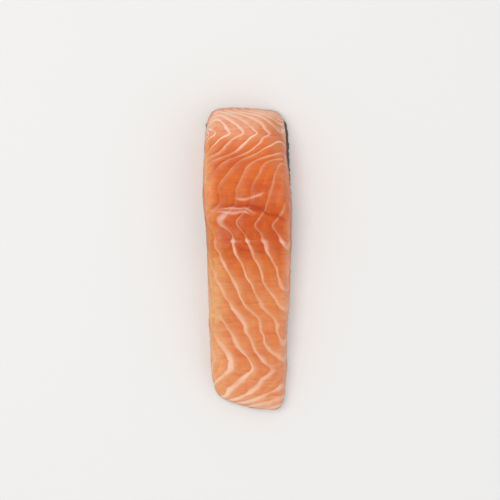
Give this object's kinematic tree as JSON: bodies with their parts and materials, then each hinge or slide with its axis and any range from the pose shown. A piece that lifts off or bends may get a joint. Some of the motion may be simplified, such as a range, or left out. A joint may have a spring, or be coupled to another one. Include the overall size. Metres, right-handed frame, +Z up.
{
  "type": "thick salmon fillet",
  "caption": "Raw, thick salmon fillet portion with its skin, thick and round at the back, thin at the belly, resting flat on the skin side.",
  "frame": {"origin": "centre of the bounding box at its underside, on the skin", "axes": "+Z up from the skin to the flesh, +Y towards the thick back edge of the portion, +X along the fish"},
  "size_m": [0.0488, 0.165, 0.0253],
  "materials": {
    "flesh": "raw salmon muscle, moist and slightly translucent, with pale sheets between the flakes",
    "skin": "scaled fish skin, dark blue-grey at the back and silver towards the belly, moist"
  },
  "bodies": {
    "root": {"flesh": "flesh", "skin": "skin"}
  },
  "joints": []
}
